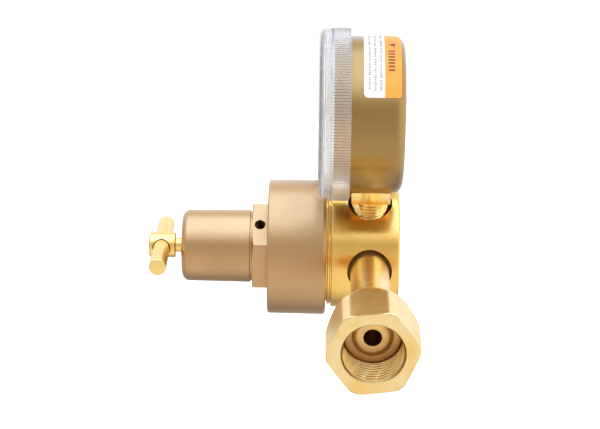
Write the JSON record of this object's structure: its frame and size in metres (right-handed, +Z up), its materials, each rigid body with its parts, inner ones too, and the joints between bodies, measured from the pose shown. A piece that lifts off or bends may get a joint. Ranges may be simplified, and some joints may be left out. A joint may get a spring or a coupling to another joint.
{
  "type": "gas regulator",
  "caption": "Single-stage gas regulator: round brass body, painted bonnet with T-handle, swivel hex inlet nut, two clear-lensed gauges in a V, outlet and relief valve.",
  "frame": {"origin": "on the inlet axis, at the outer end of the inlet nut's thread, 1.2 mm inside the nut's mouth", "axes": "+Z up with the gauges raised, -X towards the adjusting handle and the dials' faces, the bonnet axis along X; the inlet leaves towards -Y, 18 degrees below the horizontal, and the outlet towards +Y"},
  "size_m": [0.0988, 0.1578, 0.1239],
  "materials": {
    "brass": "machined",
    "bright_brass": "bright turned",
    "bronze_paint": "satin metallic paint",
    "case_brass": "lacquered spun brass",
    "copper": "soft annealed",
    "spring_steel": "drawn wire",
    "black_rubber": "moulded",
    "white_plastic": "machined",
    "clear_plastic": "clear moulded",
    "white_enamel": "printed enamel",
    "black_enamel": "satin",
    "label": "printed film"
  },
  "bodies": {
    "root": {"body_block": "brass", "bonnet": "bronze_paint", "slip_ring": "brass", "diaphragm": "black_rubber", "range_spring": "spring_steel", "valve_nozzle": "brass", "nozzle_washer": "copper", "poppet_spring": "spring_steel", "inlet_nipple": "brass", "inlet_filter": "brass", "filter_ring": "spring_steel", "outlet_fitting": "brass", "relief_body": "brass", "relief_spring": "spring_steel", "relief_cap": "brass", "case_label": "label", "supply_case": "case_brass", "supply_lens": "clear_plastic", "supply_dial": "white_enamel", "supply_dial_screws": "spring_steel", "supply_movement": "brass", "supply_tube": "brass", "supply_socket": "bright_brass", "delivery_case": "case_brass", "delivery_lens": "clear_plastic", "delivery_dial": "white_enamel", "delivery_dial_screws": "spring_steel", "delivery_movement": "brass", "delivery_tube": "brass", "delivery_socket": "bright_brass"},
    "feed": {"spring_button": "brass"},
    "screw": {"adjusting_screw": "bright_brass", "tommy_bar": "bright_brass"},
    "diaphragm_centre": {"diaphragm_plate": "brass", "diaphragm_button": "bright_brass"},
    "poppet": {"valve_poppet": "bright_brass", "poppet_seat": "white_plastic"},
    "relief_piston": {"relief_poppet": "bright_brass", "relief_seal": "black_rubber"},
    "nut": {"inlet_nut": "brass"},
    "supply_needle": {"supply_pointer": "black_enamel", "supply_arbor": "brass"},
    "supply_gear": {"supply_sector": "brass"},
    "supply_rod": {"supply_link": "spring_steel"},
    "delivery_needle": {"delivery_pointer": "black_enamel", "delivery_arbor": "brass"},
    "delivery_gear": {"delivery_sector": "brass"},
    "delivery_rod": {"delivery_link": "spring_steel"}
  },
  "joints": [
    {"name": "screw_feed", "type": "slide", "parent": "root", "child": "feed", "axis": [1, 0, 0], "range_m": [-0.006, 0.0012], "deforming": ["range_spring"]},
    {"name": "screw_turn", "type": "hinge", "parent": "feed", "child": "screw", "pos_m": [0, 0.08426, 0.02738], "axis": [1, 0, 0], "range_deg": [-1532, 308]},
    {"name": "diaphragm_lift", "type": "slide", "parent": "root", "child": "diaphragm_centre", "axis": [1, 0, 0], "range_m": [0, 0.0008], "stiffness_N_per_m": 3000, "deforming": ["diaphragm", "range_spring"]},
    {"name": "poppet_lift", "type": "slide", "parent": "root", "child": "poppet", "axis": [1, 0, 0], "range_m": [0, 0.0008], "deforming": ["poppet_spring"]},
    {"name": "relief_lift", "type": "slide", "parent": "root", "child": "relief_piston", "axis": [0, 0, -1], "range_m": [0, 0.0012], "stiffness_N_per_m": 1500, "springref_m": -0.002, "deforming": ["relief_spring"]},
    {"name": "nut_spin", "type": "hinge", "parent": "root", "child": "nut", "pos_m": [0, 0, 0], "axis": [0, -0.9511, -0.309], "continuous": true},
    {"name": "supply_needle_turn", "type": "hinge", "parent": "root", "child": "supply_needle", "pos_m": [0, 0.04723, 0.07835], "axis": [1, 0, 0], "range_deg": [0, 270], "stiffness_Nm_per_rad": 0.001, "deforming": ["supply_tube"]},
    {"name": "supply_gear_turn", "type": "hinge", "parent": "root", "child": "supply_gear", "pos_m": [0, 0.05517, 0.06743], "axis": [1, 0, 0], "range_deg": [-35, 1]},
    {"name": "supply_rod_turn", "type": "hinge", "parent": "supply_gear", "child": "supply_rod", "pos_m": [0, 0.0505, 0.0628], "axis": [1, 0, 0], "range_deg": [-1, 35]},
    {"name": "delivery_needle_turn", "type": "hinge", "parent": "root", "child": "delivery_needle", "pos_m": [0, 0.12129, 0.07835], "axis": [1, 0, 0], "range_deg": [0, 270], "stiffness_Nm_per_rad": 0.001, "deforming": ["delivery_tube"]},
    {"name": "delivery_gear_turn", "type": "hinge", "parent": "root", "child": "delivery_gear", "pos_m": [0, 0.11336, 0.06743], "axis": [1, 0, 0], "range_deg": [-35, 1]},
    {"name": "delivery_rod_turn", "type": "hinge", "parent": "delivery_gear", "child": "delivery_rod", "pos_m": [0, 0.10751, 0.07044], "axis": [1, 0, 0], "range_deg": [-1, 35]}
  ],
  "couplings": [
    {"joint": "screw_turn", "follows": "screw_feed", "rad_per_m": 4452.7},
    {"joint": "poppet_lift", "follows": "diaphragm_lift", "ratio": 1},
    {"joint": "supply_gear_turn", "follows": "supply_needle_turn", "ratio": -0.125},
    {"joint": "supply_rod_turn", "follows": "supply_needle_turn", "ratio": 0.125},
    {"joint": "delivery_gear_turn", "follows": "delivery_needle_turn", "ratio": -0.125},
    {"joint": "delivery_rod_turn", "follows": "delivery_needle_turn", "ratio": 0.125}
  ]
}
